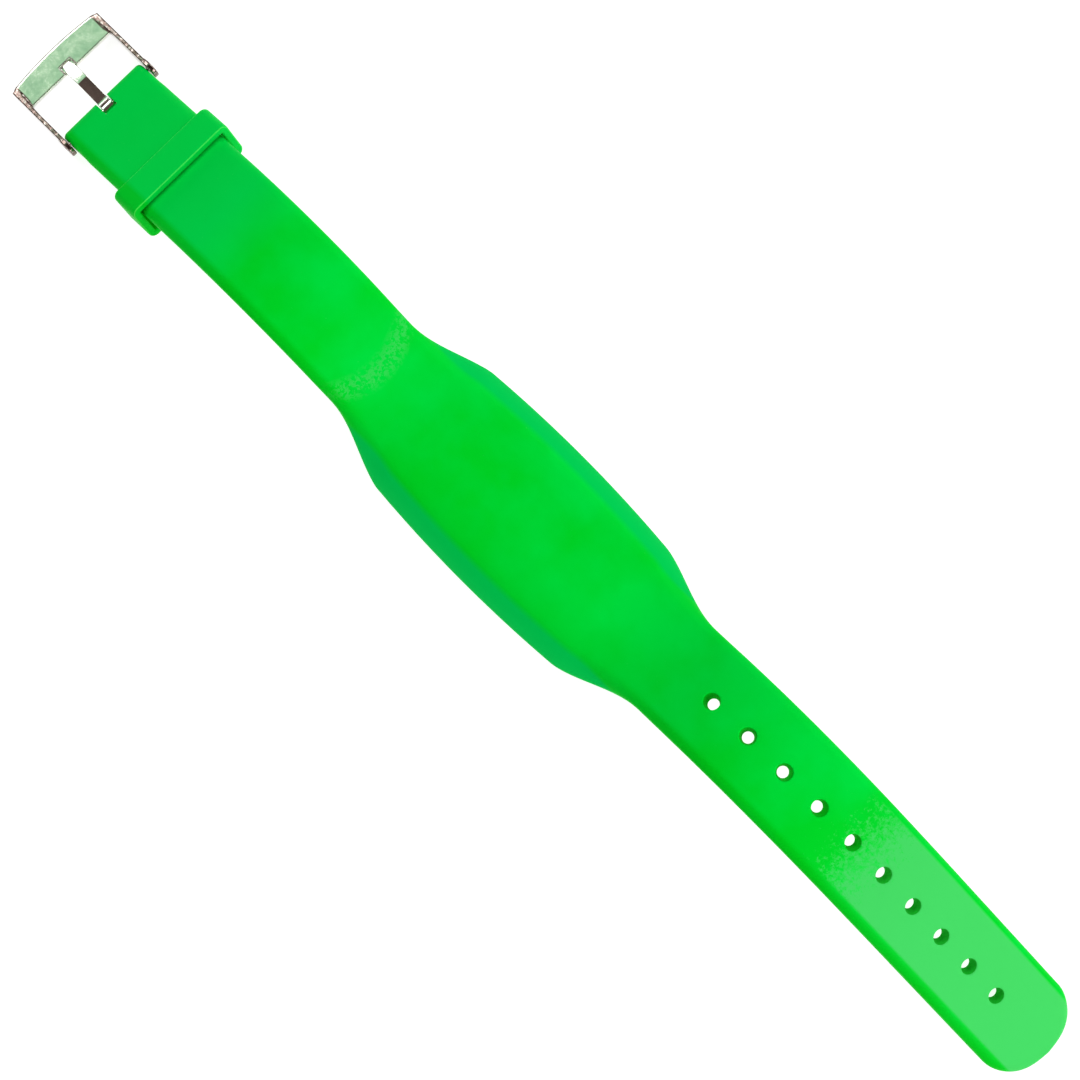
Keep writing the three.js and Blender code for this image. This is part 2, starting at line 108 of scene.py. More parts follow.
TIP_END = 145.5
TIP_LENGTH = 8.35
TIP_ROUNDNESS = 0.374           # power of the tip's outline; a smaller one is blunter
TIP_STEPS = 30

BAR_AT = -115.0
BOSS_RADIUS = 1.95
BOSS_TAPER = 8
END_NARROWING = 0.12            # taken off each side at the buckle's arms, from END_RELIEF on
END_RELIEF = 6.7
END_RELIEF_RUN = 3
TANG_SLOT_END = 2.4
TANG_SLOT_HALF_WIDTH = 1.45

HEAD_END = FIRST_HOLE - 35 * CELL
STRAP_CUTS = (-53.0, -71.2)     # where one length of the buckle-side strap meets the next

# Each zone marks a stretch of the band between one body and the next; it is passed on, but nothing
# bends the band over it.
TAIL_ZONES = ((31.3, 52.3), (54.0, 69.6), (71.6, 104.6), (106.6, 122.1))
STRAP_ZONES = ((-33.2, -52.0), (-54.7, -70.2), (-74.3, -84.5))

# ---------- keeper, cover, spring bar, buckle ----------

KEEPER_AT = -93.1
KEEPER_LENGTH = 6.6
KEEPER_WALL = 1.45
KEEPER_INNER_HEIGHT = 6.2
KEEPER_INNER_WIDTH = 20.6
KEEPER_CORNER = 1.5
KEEPER_RIM = 0.42
KEEPER_CLEARANCE = 0.3

COVER_LENGTH = 46
COVER_WIDTH = 24
COVER_CORNER = 9
COVER_THICKNESS = 1.2
SEAT_GAP = 0.3
POCKET_MARGIN = 2.5
POCKET_DEPTH = 1.8

BAR_TUBE_RADIUS = 0.65
BAR_TUBE_BORE = 0.48
BAR_TUBE_HALF = 9.4
PIN_RADIUS = 0.31
PIN_SHOULDER_RADIUS = 0.41
PIN_SHOULDER_LENGTH = 1.8
PIN_TIP_AT = 10.75
PIN_CLEARANCE = 0.06
BAR_LIP = 0.25
RUN_GAP = 0.1

BUCKLE_TILT = 3.6
BUCKLE_REACH = 15.3
BUCKLE_BOW = 0.75
BUCKLE_BAR_WIDTH = 5.6
BUCKLE_BAR_THICKNESS = 1.2
BUCKLE_TOP = 1.0
BUCKLE_CORNER = 1.3
BUCKLE_RIM = 0.5
BUCKLE_HALF_INNER = 10.1
BUCKLE_ARM = 0.8
BUCKLE_EAR_PAD = 0.2
BUCKLE_EAR_RADIUS = 2.1
NOTCH_HALF_WIDTH = 1.45
NOTCH_DEPTH = 0.55
NOTCH_END = 11.5
TANG_HALF_WIDTH = 1.15
TANG_REACH = 11.2
TANG_EYE = 0.75
TANG_THICKNESS = 0.6
TANG_SHOULDER = 1.05            # how far short of the bar's axis its straight part ends


def ease(value):
    """0 below 0, 1 above 1, and a smooth rise between."""
    share = min(max(value, 0.0), 1.0)
    return share * share * (3 - 2 * share)


def mix(low, high, share):
    return low + (high - low) * share


def curve_at(along):
    """Where the middle layer lies at one place along the band: x, z and slope."""
    side = 1 if along >= 0 else -1
    flat = TAIL_FLAT if side > 0 else BUCKLE_FLAT
    left = abs(along) - flat
    if left <= 0:
        return along, MIDDLE_HEIGHT, 0.0
    x, z, angle = flat, MIDDLE_HEIGHT, 0.0
    for length, degrees in TAIL_BENDS if side > 0 else BUCKLE_BENDS:
        step = min(left, length)
        if step <= 0:
            break
        turn = math.radians(degrees) * step / length
        chord = step * math.sin(turn / 2) / (turn / 2)
        x += chord * math.cos(angle + turn / 2)
        z += chord * math.sin(angle + turn / 2)
        angle += turn
        left -= step
    x += max(left, 0) * math.cos(angle)
    z += max(left, 0) * math.sin(angle)
    return side * x, z, side * angle


def band_point(along, across, lift):
    """A flat place laid on the resting curve, in metres."""
    x, z, slope = curve_at(along)
    return Vector((x - lift * math.sin(slope), across, z + lift * math.cos(slope))) * MM


# ---------- the band's cross-section ----------


def head_share(along, turn=1.0):
    """1 over the head, falling to 0 where the neck has become strap."""
    reach = abs(curve_at(along)[0]) - HEAD_CORNER_AT
    return 1 - ease(max(reach / (HEAD_NECK_AT - HEAD_CORNER_AT), 0) ** turn)


def half_width(along):
    inside = min(abs(along) / HEAD_CORNER_AT, 1)
    head = mix(HEAD_HALF_WIDTH, HEAD_CORNER_HALF_WIDTH, inside ** 2)
    width = mix(STRAP_HALF_WIDTH, head, head_share(along, HEAD_CORNER_TURN))
    tip = (along - (TIP_END - TIP_LENGTH)) / TIP_LENGTH
    if tip > 0:
        width *= max(1 - min(tip, 1) ** 1.6, 0) ** TIP_ROUNDNESS
    return width - END_NARROWING * ease((BAR_AT + END_RELIEF - along) / END_RELIEF_RUN)


def half_thickness(along):
    """Half the strap's thickness, which swells to the round boss on the spring bar."""
    swell = ease((BAR_AT + BOSS_TAPER - along) / BOSS_TAPER)
    beyond = BAR_AT - along
    if beyond > 0:
        return math.sqrt(max(BOSS_RADIUS ** 2 - beyond ** 2, 0))
    return mix(STRAP_HALF_THICKNESS, BOSS_RADIUS, swell)


class Section:
    """The band's cross-section at one place along it, as a ring of points."""

    # Points of half a ring, from the middle of the top round to the middle of the underside.
    TOP, EDGE, SIDE, LOWER, UNDER = 7, 10, 3, 4, 6
    HALF = CORE_CELLS + TOP + EDGE + SIDE + LOWER + UNDER + CORE_CELLS

    def __init__(self, along):
        share = head_share(along)
        half = half_thickness(along)
        thin = min(half / STRAP_HALF_THICKNESS, 1)
        step = 0.02
        slant = (half_width(along) - half_width(along - step)) / step
        self.stretch = math.hypot(1, slant)
        self.width = half_width(along)
        self.run = mix(STRAP_EDGE_RUN, HEAD_EDGE_RUN, share)
        self.run *= mix(1, 0.5, ease((BAR_AT + BOSS_TAPER - along) / BOSS_TAPER))
        self.drop = mix(STRAP_EDGE_DROP, HEAD_EDGE_DROP, share) * thin
        self.power = mix(STRAP_EDGE_POWER, HEAD_EDGE_POWER, share)
        self.radius = mix(STRAP_LOWER_RADIUS, HEAD_LOWER_RADIUS, share) * thin
        self.radius = min(self.radius, 0.5 * self.width)
        self.crown = mix(0.05, 0.3, share) * thin
        self.top = half
        self.bottom = -half - share * HEAD_EXTRA_DEPTH
        self.shoulder = self.width - min(self.run * self.stretch, 0.9 * self.width)
        self.core = min(CORE_CELLS * CELL, 0.4 * self.shoulder)

    def top_lift(self, across):
        inward = min((self.width - across) / self.stretch / self.run, 1)
        fall = 1 - (1 - max(1 - inward, 0) ** self.power) ** (1 / self.power)
        crown = self.crown * (across / self.width) ** 2
        return self.top - self.drop * fall - crown

    def half_point(self, index):
        """(across, lift) of one point of the half ring."""
        if index <= CORE_CELLS:
            across = self.core * index / CORE_CELLS
            return across, self.top_lift(across)
        index -= CORE_CELLS
        if index <= self.TOP:
            across = mix(self.core, self.shoulder, index / self.TOP)
            return across, self.top_lift(across)
        index -= self.TOP
        if index <= self.EDGE:
            turn = math.pi / 2 * index / self.EDGE
            across = mix(self.shoulder, self.width, math.sin(turn))
            return across, self.top_lift(across)
        index -= self.EDGE
        side_top = self.top_lift(self.width)
        if index <= self.SIDE:
            return self.width, mix(side_top, self.bottom + self.radius, index / self.SIDE)
        index -= self.SIDE
        if index <= self.LOWER:
            turn = math.pi / 2 * index / self.LOWER
            across = self.width - self.radius * (1 - math.cos(turn))
            return across, self.bottom + self.radius * (1 - math.sin(turn))
        index -= self.LOWER
        if index <= self.UNDER:
            return mix(self.width - self.radius, self.core, index / self.UNDER), self.bottom
        index -= self.UNDER
        return self.core * (1 - index / CORE_CELLS), self.bottom

    def point(self, index):
        if index <= self.HALF:
            return self.half_point(index)
        across, lift = self.half_point(2 * self.HALF - index)
        return -across, lift


def band_tube(stations):
    """A closed length of band in flat places, with one ring of points at each station."""
    ring = 2 * Section.HALF
    last = len(stations) - 1
    bm = bmesh.new()
    bmesh.ops.create_cone(
        bm, cap_ends=True, cap_tris=False, segments=ring, radius1=1, radius2=1, depth=1)
    rails = [e for e in bm.edges if abs(e.verts[0].co.z - e.verts[1].co.z) > 0.5]
    bmesh.ops.subdivide_edges(bm, edges=rails, cuts=last - 1, use_grid_fill=True)
    sections = [Section(along) for along in stations]
    for vertex in bm.verts:
        turn = math.atan2(vertex.co.y, vertex.co.x) / (2 * math.pi)
        index = round(turn * ring) % ring
        station = round((vertex.co.z + 0.5) * last)
        across, lift = sections[station].point(index)
        vertex.co = (stations[station], across, lift)
    return bm


def even_steps(start, end, step):
    count = max(round(abs(end - start) / step), 1)
    return [mix(start, end, i / count) for i in range(count + 1)]


def open_hole(bm, along):
    """Opens one buckle hole: the cells over it go, and a lipped wall joins both faces."""
    reach = CORE_CELLS * CELL
    rims = []
    for face_side in (1, -1):
        cells = set()
        for face in bm.faces:
            middle = face.calc_center_median()
            if abs(middle.x - along) < reach and abs(middle.y) < reach and middle.z * face_side > 0.5:
                cells.add(face)
        rim = {e for f in cells for e in f.edges if sum(g in cells for g in e.link_faces) == 1}
        rims.append(list(rim))
        bmesh.ops.delete(bm, geom=list(cells), context='FACES')
    profile = []
    for face_side in (1, -1):
        lip = HOLE_UPPER_LIP if face_side > 0 else HOLE_LOWER_LIP
        wall = HOLE_MOUTH if face_side > 0 else HOLE_RADIUS
        rows = []
        for i in range(9):
            turn = math.pi / 2 * i / 8
            radius = wall + lip * (1 - math.sin(turn))
            rows.append((radius, face_side * (STRAP_HALF_THICKNESS - lip * (1 - math.cos(turn)))))
        profile += rows if face_side > 0 else rows[::-1]
    inner = bm.verts.layers.float.get("inner") or bm.verts.layers.float.new("inner")
    points = [bm.verts.new((along + radius, 0, lift)) for radius, lift in profile]
    # The hole's wall is marked for painted shade in the silicone's colour.
    for point in points[5:-2]:
        point[inner] = 1.0
    chain = [bm.edges.new(pair) for pair in zip(points, points[1:])]
    bmesh.ops.spin(
        bm, geom=points + chain, cent=(along, 0, 0), axis=(0, 0, 1), dvec=(0, 0, 0),
        angle=2 * math.pi, steps=HOLE_STEPS, use_merge=True)
    for face_side, rim in zip((1, -1), rims):
        lip_edge = []
        for edge in bm.edges:
            a, b = edge.verts
            near = all(math.hypot(v.co.x - along, v.co.y) < 0.98 * reach for v in (a, b))
            level = all(abs(v.co.z - face_side * STRAP_HALF_THICKNESS) < 0.01 for v in (a, b))
            if near and level and edge.is_boundary:
                lip_edge.append(edge)
        bmesh.ops.bridge_loops(bm, edges=rim + lip_edge)


# ---------- making objects ----------


def set_sharp(bm, degrees):
    limit = math.radians(degrees)
    for edge in bm.edges:
        edge.smooth = not (edge.is_manifold and edge.calc_face_angle(0) > limit)
    for face in bm.faces:
        face.smooth = True


def make_piece(bm, name, material, sharp=38):
    """Turns a finished bmesh, in metres, into an object; its rest places are kept for textures."""
    bmesh.ops.recalc_face_normals(bm, faces=bm.faces)
    set_sharp(bm, sharp)
    mesh = bpy.data.meshes.new(name)
    bm.to_mesh(mesh)
    bm.free()
    places = mesh.attributes.new("rest_place", 'FLOAT_VECTOR', 'POINT')
    for vertex, place in zip(mesh.vertices, places.data):
        place.vector = vertex.co / MM
    mesh.materials.append(material)
    piece = bpy.data.objects.new(name, mesh)
    bpy.context.scene.collection.objects.link(piece)
    return piece


def lay_on_curve(bm):
    for vertex in bm.verts:
        vertex.co = band_point(*vertex.co)
    return bm


def worked(bm, *modifiers):
    """A bmesh after modifiers, each given as (kind, settings), in order."""
    mesh = bpy.data.meshes.new("blank")
    bmesh.ops.recalc_face_normals(bm, faces=bm.faces)
    bm.to_mesh(mesh)
    bm.free()
    blank = bpy.data.objects.new("blank", mesh)
    bpy.context.scene.collection.objects.link(blank)
    for kind, settings in modifiers:
        modifier = blank.modifiers.new(kind.lower(), kind)
        for key, value in settings.items():
            setattr(modifier, key, value)
    graph = bpy.context.evaluated_depsgraph_get()
    result = bmesh.new()
    result.from_mesh(blank.evaluated_get(graph).to_mesh())
    bpy.data.objects.remove(blank)
    bpy.data.meshes.remove(mesh)
    return result


def cut_away(bm, cutter_bm):
    """Cuts one closed shape out of another."""
    mesh = bpy.data.meshes.new("cutter")
    bmesh.ops.recalc_face_normals(cutter_bm, faces=cutter_bm.faces)
    cutter_bm.to_mesh(mesh)
    cutter_bm.free()
    cutter = bpy.data.objects.new("cutter", mesh)
    bpy.context.scene.collection.objects.link(cutter)
    settings = {"operation": 'DIFFERENCE', "object": cutter, "solver": 'EXACT'}
    result = worked(bm, ('BOOLEAN', settings))
    bpy.data.objects.remove(cutter)
    bpy.data.meshes.remove(mesh)
    return result


def join(*shapes):
    """One bmesh that holds several closed shapes."""
    whole = bmesh.new()
    for shape in shapes:
        mesh = bpy.data.meshes.new("part")
        bmesh.ops.recalc_face_normals(shape, faces=shape.faces)
        shape.to_mesh(mesh)
        shape.free()
        whole.from_mesh(mesh)
        bpy.data.meshes.remove(mesh)
    return whole


def block(low, high):
    bm = bmesh.new()
    bmesh.ops.create_cube(bm, size=1)
    size = Vector(high) - Vector(low)
    bmesh.ops.scale(bm, vec=size, verts=bm.verts)
    bmesh.ops.translate(bm, vec=(Vector(high) + Vector(low)) / 2, verts=bm.verts)
    return bm


def rod(radius, half_length, middle=(0, 0, 0), segments=48):
    """A cylinder across the band."""
    bm = bmesh.new()
    bmesh.ops.create_cone(
        bm, cap_ends=True, cap_tris=False, segments=segments,
        radius1=radius, radius2=radius, depth=2 * half_length)
    bmesh.ops.rotate(bm, cent=(0, 0, 0), matrix=Matrix.Rotation(math.pi / 2, 3, 'X'), verts=bm.verts)
    bmesh.ops.translate(bm, vec=middle, verts=bm.verts)
    return bm


def turned(profile, steps=64):
    """A shape turned round Y from (radius, y) points that meet the axis or close on themselves."""
    bm = bmesh.new()
    points = [bm.verts.new((radius, y, 0)) for radius, y in profile]
    chain = [bm.edges.new(pair) for pair in zip(points, points[1:])]
    if profile[0][0] > 0:
        chain.append(bm.edges.new((points[-1], points[0])))
    bmesh.ops.spin(
        bm, geom=points + chain, cent=(0, 0, 0), axis=(0, 1, 0), dvec=(0, 0, 0),
        angle=2 * math.pi, steps=steps, use_merge=True)
    bmesh.ops.remove_doubles(bm, verts=bm.verts, dist=1e-5)
    return bm


def rounded_outline(length, width, corner, arc_steps, side_steps):
    """Points round a rectangle with round corners, each with the angle it faces."""
    points = []
    for quarter in range(4):
        start = quarter * math.pi / 2
        sign_x = 1 if quarter in (0, 3) else -1
        sign_y = 1 if quarter < 2 else -1
        middle_x = sign_x * (length / 2 - corner)
        middle_y = sign_y * (width / 2 - corner)
        for i in range(arc_steps + 1):
            facing = start + math.pi / 2 * i / arc_steps
            points.append((
                middle_x + corner * math.cos(facing), middle_y + corner * math.sin(facing), facing))
        facing = start + math.pi / 2
        run = (width if quarter % 2 else length) - 2 * corner
        x, y, _ = points[-1]
        for i in range(1, side_steps):
            step = run * i / side_steps
            points.append((x - step * math.sin(facing), y + step * math.cos(facing), facing))
    return points


def plate(length, width, corner, low, high, edge):
    """A flat plate with round corners and softened rims."""
    outline = rounded_outline(length, width, corner, 14, 8)
    bm = bmesh.new()
    bmesh.ops.create_circle(bm, cap_ends=True, segments=len(outline), radius=1)
    for vertex in bm.verts:
        turn = math.atan2(vertex.co.y, vertex.co.x) / (2 * math.pi)
        x, y, _ = outline[round(turn * len(outline)) % len(outline)]
        vertex.co = (x, y, low)
    raised = bmesh.ops.extrude_face_region(bm, geom=bm.faces[:])
    top = [v for v in raised['geom'] if isinstance(v, bmesh.types.BMVert)]
    bmesh.ops.translate(bm, vec=(0, 0, high - low), verts=top)
    bmesh.ops.recalc_face_normals(bm, faces=bm.faces)
    if edge:
        rims = [e for e in bm.edges if abs(e.verts[0].co.z - e.verts[1].co.z) < 1e-6]
        bmesh.ops.bevel(
            bm, geom=rims, offset=edge, segments=3, profile=0.5, affect='EDGES', material=-1)
        flats = [f for f in bm.faces if len(f.verts) == len(outline)]
        bmesh.ops.inset_individual(bm, faces=flats, thickness=0.3)
    return bm


# ---------- materials ----------


def new_group(name, inputs, outputs):
    group = bpy.data.node_groups.new(name, 'ShaderNodeTree')
    for label, kind, value in inputs:
        socket = group.interface.new_socket(label, in_out='INPUT', socket_type=kind)
        if value is not None:
            socket.default_value = value
    for label, kind in outputs:
        group.interface.new_socket(label, in_out='OUTPUT', socket_type=kind)
    return group, group.nodes.new('NodeGroupInput'), group.nodes.new('NodeGroupOutput')


def noise(tree, vector, scale, detail, roughness=0.5):
    node = tree.nodes.new('ShaderNodeTexNoise')
    node.inputs['Scale'].default_value = scale
    node.inputs['Detail'].default_value = detail
    node.inputs['Roughness'].default_value = roughness
    tree.links.new(vector, node.inputs['Vector'])
    return node.outputs['Fac']


def ramp(tree, value, from_low, from_high, to_low, to_high):
    node = tree.nodes.new('ShaderNodeMapRange')
    for label, number in zip(
            ('From Min', 'From Max', 'To Min', 'To Max'), (from_low, from_high, to_low, to_high)):
        node.inputs[label].default_value = number
    tree.links.new(value, node.inputs['Value'])
    return node.outputs['Result']


def math_node(tree, operation, *values):
    node = tree.nodes.new('ShaderNodeMath')
    node.operation = operation
    for socket, value in zip(node.inputs, values):
        if isinstance(value, (int, float)):
            socket.default_value = value
        else:
            tree.links.new(value, socket)
    return node.outputs[0]


def product(tree, first, *others):
    for other in others:
        first = math_node(tree, 'MULTIPLY', first, other)
    return first


def blend_colours(tree, factor, first, second):
    node = tree.nodes.new('ShaderNodeMix')
    node.data_type = 'RGBA'
    tree.links.new(factor, node.inputs['Factor'])
    for label, value in (('A', first), ('B', second)):
        socket = [s for s in node.inputs if s.name == label and s.type == 'RGBA'][0]
        if isinstance(value, tuple):
            socket.default_value = (*value, 1)
        else:
            tree.links.new(value, socket)
    return [s for s in node.outputs if s.type == 'RGBA'][0]


def moulded_grain_group():
    """The fine matt grain of a blasted mould, with broad soft patches and stray specks of dust."""
    group, source, result = new_group(
        "moulded_grain",
        [("Place", 'NodeSocketVector', None), ("Grain Scale", 'NodeSocketFloat', 5.0),
         ("Patch Scale", 'NodeSocketFloat', 0.12)],
        [("Height", 'NodeSocketFloat'), ("Patch", 'NodeSocketFloat'), ("Dust", 'NodeSocketFloat')])
    place = source.outputs['Place']
    grain = group.nodes.new('ShaderNodeTexNoise')
    grain.inputs['Detail'].default_value = 3
    group.links.new(place, grain.inputs['Vector'])
    group.links.new(source.outputs['Grain Scale'], grain.inputs['Scale'])
    patch = group.nodes.new('ShaderNodeTexNoise')
    patch.inputs['Detail'].default_value = 4
    group.links.new(place, patch.inputs['Vector'])
    group.links.new(source.outputs['Patch Scale'], patch.inputs['Scale'])
    specks = noise(group, place, 2.6, 2, 0.6)
    group.links.new(grain.outputs['Fac'], result.inputs['Height'])
    group.links.new(patch.outputs['Fac'], result.inputs['Patch'])
    group.links.new(ramp(group, specks, 0.70, 0.78, 0, 1), result.inputs['Dust'])
    return group


def fine_scratches_group():
    """Hairline polishing marks in two crossing directions, and a broad soft cloud for uneven patches.
    """
    group, source, result = new_group(
        "fine_scratches",
        [("Place", 'NodeSocketVector', None), ("Stretch", 'NodeSocketVector', (1, 12, 1))],
        [("Height", 'NodeSocketFloat'), ("Cloud", 'NodeSocketFloat')])
    heights = []
    for turn in (0.5, -0.9):
        mapping = group.nodes.new('ShaderNodeMapping')
        mapping.inputs['Rotation'].default_value = (0, 0, turn)
        group.links.new(source.outputs['Place'], mapping.inputs['Vector'])
        stretched = group.nodes.new('ShaderNodeVectorMath')
        stretched.operation = 'MULTIPLY'
        group.links.new(mapping.outputs['Vector'], stretched.inputs[0])
        group.links.new(source.outputs['Stretch'], stretched.inputs[1])
        lines = noise(group, stretched.outputs['Vector'], 1.6, 4, 0.7)
        heights.append(ramp(group, lines, 0.6, 0.72, 0, 1))
    total = math_node(group, 'ADD', heights[0], heights[1])
    cloud = noise(group, source.outputs['Place'], 0.45, 5, 0.6)
    group.links.new(total, result.inputs['Height'])
    group.links.new(cloud, result.inputs['Cloud'])
    return group


MOULDED_GRAIN = moulded_grain_group()
FINE_SCRATCHES = fine_scratches_group()


def new_material(name, **sockets):
    """A plain Principled material with its constant sockets set, its tree and its shader."""
    material = bpy.data.materials.new(name)
    material.use_nodes = True
    tree = material.node_tree
    shader = tree.nodes['Principled BSDF']
    for label, value in sockets.items():
        shader.inputs[label.replace('_', ' ')].default_value = value
    return material, tree, shader


def piece_place(tree):
    node = tree.nodes.new('ShaderNodeAttribute')
    node.attribute_name = "rest_place"
    return node.outputs['Vector']


def point_value(tree, name):
    """A number kept on a piece's points; it reads 0 on pieces that have none."""
    node = tree.nodes.new('ShaderNodeAttribute')
    node.attribute_name = name
    return node.outputs['Fac']


def object_place(tree):
    """Object coordinates in millimetres, for the CAD nodes, which carry no rest places."""
    source = tree.nodes.new('ShaderNodeTexCoord')
    scaled = tree.nodes.new('ShaderNodeVectorMath')
    scaled.operation = 'SCALE'
    scaled.inputs['Scale'].default_value = 1 / MM
    tree.links.new(source.outputs['Object'], scaled.inputs[0])
    return scaled.outputs['Vector']


def add_bump(tree, shader, height, strength, distance):
    bump = tree.nodes.new('ShaderNodeBump')
    bump.inputs['Strength'].default_value = strength
    bump.inputs['Distance'].default_value = distance
    tree.links.new(height, bump.inputs['Height'])
    tree.links.new(bump.outputs['Normal'], shader.inputs['Normal'])


def grain(tree, place, grain_scale, patch_scale):
    node = tree.nodes.new('ShaderNodeGroup')
    node.node_tree = MOULDED_GRAIN
    node.inputs['Grain Scale'].default_value = grain_scale
    node.inputs['Patch Scale'].default_value = patch_scale
    tree.links.new(place, node.inputs['Place'])
    return node.outputs


def painted_highlight_mask(tree, place, x, y):
    """Where the painted highlight shows, pale and speckled: over the tail's end and in a bowed patch
    on the neck.
    """
    speckle = noise(tree, place, 1.1, 4, 0.75)
    ragged = math_node(tree, 'MULTIPLY_ADD', speckle, 34, x)
    tail = product(
        tree, ramp(tree, ragged, 98, 106, 0, 1), ramp(tree, y, -8.1, -7.6, 0, 1),
        ramp(tree, y, 8.5, 9.0, 1, 0))
    bowed = math_node(tree, 'MULTIPLY_ADD', product(tree, y, y), 0.035, 36.8)
    from_neck = math_node(tree, 'ABSOLUTE', math_node(tree, 'ADD', x, bowed))
    neck = product(
        tree, ramp(tree, from_neck, 0.8, 2.8, 0.6, 0), ramp(tree, speckle, 0.46, 0.54, 0, 1))
    return math_node(tree, 'MAXIMUM', tail, neck)


def painted_shade_side_mask(tree, y, off_head):
    """Painted shade, a deeper green along one side: narrow on the straps and broad over the head."""
    on_head = math_node(tree, 'SUBTRACT', 1, off_head)
    strap = product(tree, off_head, ramp(tree, y, -7.6, -8.6, 0, 0.75))
    head = product(tree, on_head, ramp(tree, y, -3, -12, 0, 0.6))
    return math_node(tree, 'ADD', strap, head)


def wall_shade_and_matt_mask(tree, y, z, off_head):
    """The head's side walls, below its rounded upper edge: painted shade in the colour there, and a
    more matt finish.
    """
    on_head = math_node(tree, 'SUBTRACT', 1, off_head)
    across = math_node(tree, 'ABSOLUTE', y)
    return product(
        tree, ramp(tree, z, 6.72, 6.1, 0, 0.9), ramp(tree, across, 9.6, 11.2, 0, 1), on_head)


def silicone_material():
    """Satin green, with painted shade: cooler and darker on the head's walls, deeper along one side,
    darker in the holes; a cooler painted reflection by the keeper, and faint speckled painted
    highlights on the tail's end, the neck and the keeper's edges.
    """
    material, tree, shader = new_material(
        "bright_green_silicone", Specular_IOR_Level=0.04, Specular_Tint=(0.1, 1, 0.9, 1))
    place = piece_place(tree)
    split = tree.nodes.new('ShaderNodeSeparateXYZ')
    tree.links.new(place, split.inputs['Vector'])
    x, y, z = split.outputs
    off_head = ramp(tree, math_node(tree, 'ABSOLUTE', x), 31, 42, 0, 1)
    found = grain(tree, place, 4.5, 0.07)
    wall = wall_shade_and_matt_mask(tree, y, z, off_head)
    inner = point_value(tree, "inner")
    layers = (
        # painted reflection: a cooler, bluer green over the strap towards the keeper
        (ramp(tree, x, -66, -76, 0, 0.8), (0.0, 0.67, 0.074)),
        # painted highlight, pale and speckled, on the tail's end and the neck
        (painted_highlight_mask(tree, place, x, y), (0.054, 0.65, 0.115)),
        (product(tree, found['Dust'], 0.08), (0.35, 0.75, 0.35)),
        # painted shade along one side
        (painted_shade_side_mask(tree, y, off_head), (0.0, 0.56, 0.006)),
        # painted shade on the head's walls
        (wall, (0.0, 0.60, 0.09)),
        # painted shade inside the holes
        (product(tree, inner, 0.8), (0.0, 0.40, 0.002)),
        # painted highlight on the keeper's edges
        (product(tree, point_value(tree, "rim"), 0.55), (0.13, 0.95, 0.14)))
    tone = ramp(tree, found['Patch'], 0.35, 0.65, 0, 1)
    colour = blend_colours(tree, tone, (0.0, 0.65, 0.018), (0.0, 0.72, 0.046))
    for mask, tint in layers:
        colour = blend_colours(tree, mask, colour, tint)
    tree.links.new(colour, shader.inputs['Base Color'])
    satin = ramp(tree, found['Patch'], 0.3, 0.7, 0.40, 0.50)
    matt = product(tree, math_node(tree, 'MAXIMUM', wall, inner), 0.5)
    tree.links.new(math_node(tree, 'ADD', satin, matt), shader.inputs['Roughness'])
    add_bump(tree, shader, found['Height'], 0.35, 0.00004)
    return material


def nickel_material(name, place_from, stretch):
    """Polished plate with clouded patches; along its sides it is duller, with a speckled brown
    painted reflection.
    """
    material, tree, shader = new_material(name, Metallic=1.0)
    node = tree.nodes.new('ShaderNodeGroup')
    node.node_tree = FINE_SCRATCHES
    node.inputs['Stretch'].default_value = stretch
    place = place_from(tree)
    tree.links.new(place, node.inputs['Place'])
    found = node.outputs
    cloud = ramp(tree, found['Cloud'], 0.35, 0.65, 0, 1)
    colour = blend_colours(tree, cloud, (0.60, 0.64, 0.58), (0.82, 0.80, 0.74))
    split = tree.nodes.new('ShaderNodeSeparateXYZ')
    tree.links.new(place, split.inputs['Vector'])
    x, y, _ = split.outputs
    wider = ramp(tree, x, -117.5, -119.5, 0, 0.6)
    across = math_node(tree, 'ADD', math_node(tree, 'ABSOLUTE', y), wider)
    # Painted reflection: speckled dark brown along the sides and round the outer rim.
    speckle = ramp(tree, noise(tree, place, 2.4, 3, 0.7), 0.50, 0.66, 0.95, 0.4)
    painted_dark_reflection = product(tree, ramp(tree, across, 9.95, 10.15, 0, 1), speckle)
    colour = blend_colours(tree, painted_dark_reflection, colour, (0.16, 0.10, 0.085))
    tree.links.new(colour, shader.inputs['Base Color'])
    rough = math_node(
        tree, 'ADD', ramp(tree, found['Cloud'], 0.3, 0.7, 0.09, 0.17),
        product(tree, found['Height'], 0.08))
    tree.links.new(rough, shader.inputs['Roughness'])
    add_bump(tree, shader, found['Height'], 0.25, 0.000008)
    return material


def plain_moulding_material(name, dark, light, rough, place_from, metallic=0.0):
    """Film, resin or copper foil: a fine grain over a slightly uneven tone."""
    material, tree, shader = new_material(name, Metallic=metallic)
    found = grain(tree, place_from(tree), 9.0, 0.4)
    tone = ramp(tree, found['Patch'], 0.35, 0.65, 0, 1)
    tree.links.new(blend_colours(tree, tone, dark, light), shader.inputs['Base Color'])
    low, high = rough
    tree.links.new(ramp(tree, found['Height'], 0.3, 0.7, low, high), shader.inputs['Roughness'])
    add_bump(tree, shader, found['Height'], 0.2, 0.00001)
    return material


SILICONE = silicone_material()
NICKEL = nickel_material("polished_nickel", piece_place, (1, 14, 1))
SPRING_WIRE = nickel_material("spring_wire", object_place, (1, 3, 1))
FILM = plain_moulding_material(
    "tag_film", (0.74, 0.72, 0.62), (0.84, 0.82, 0.74), (0.35, 0.5), object_place)
COPPER = plain_moulding_material(
    "etched_copper", (0.62, 0.30, 0.14), (0.78, 0.42, 0.22), (0.25, 0.45), object_place, 1.0)
RESIN = plain_moulding_material(
    "moulded_resin", (0.012, 0.012, 0.014), (0.03, 0.03, 0.032), (0.35, 0.55), object_place)


